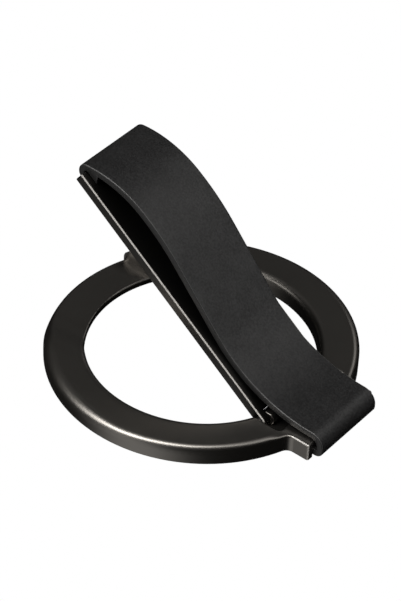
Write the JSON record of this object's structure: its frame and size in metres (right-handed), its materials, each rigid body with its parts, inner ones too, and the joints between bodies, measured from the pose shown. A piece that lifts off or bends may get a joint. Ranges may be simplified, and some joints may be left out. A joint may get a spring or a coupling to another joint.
{
  "type": "magnetic phone stand",
  "caption": "Flat magnetic ring for the back of a phone with a hinged arm that lifts as a stand; a strap from the ring's lug to the arm's free end makes a finger loop.",
  "frame": {"origin": "ring's axis on the pad's lower face, which meets the phone", "axes": "+X from the ring's axis to the lug, +Y along the hinge pin, +Z away from the phone"},
  "size_m": [0.0628, 0.058, 0.0374],
  "materials": {
    "gunmetal": "satin dark coating",
    "strap": "matte fine grain, painted edges",
    "pad": "soft matte",
    "film": "thin film",
    "magnet": "nickel plated",
    "steel": "plain",
    "bronze": "plain"
  },
  "bodies": {
    "base": {"ring_housing": "gunmetal", "base_pad": "pad", "pad_adhesive": "film", "magnets_front": "magnet", "magnets_back": "magnet", "yoke_front": "steel", "yoke_back": "steel", "bush_front": "bronze", "bush_back": "bronze", "keeper_front": "steel", "keeper_back": "steel", "washer_front": "steel", "washer_back": "steel", "strap_clamp": "steel", "clamp_screws": "steel", "strap": "strap"},
    "arm": {"arm_plate": "gunmetal", "hinge_pin": "steel", "arm_rivets": "gunmetal"}
  },
  "joints": [
    {"name": "arm_hinge", "type": "hinge", "parent": "base", "child": "arm", "pos_m": [0.0209, 0, 0.00265], "axis": [0, 1, 0], "range_deg": [-37.2, 52.8], "deforming": ["strap"]}
  ]
}
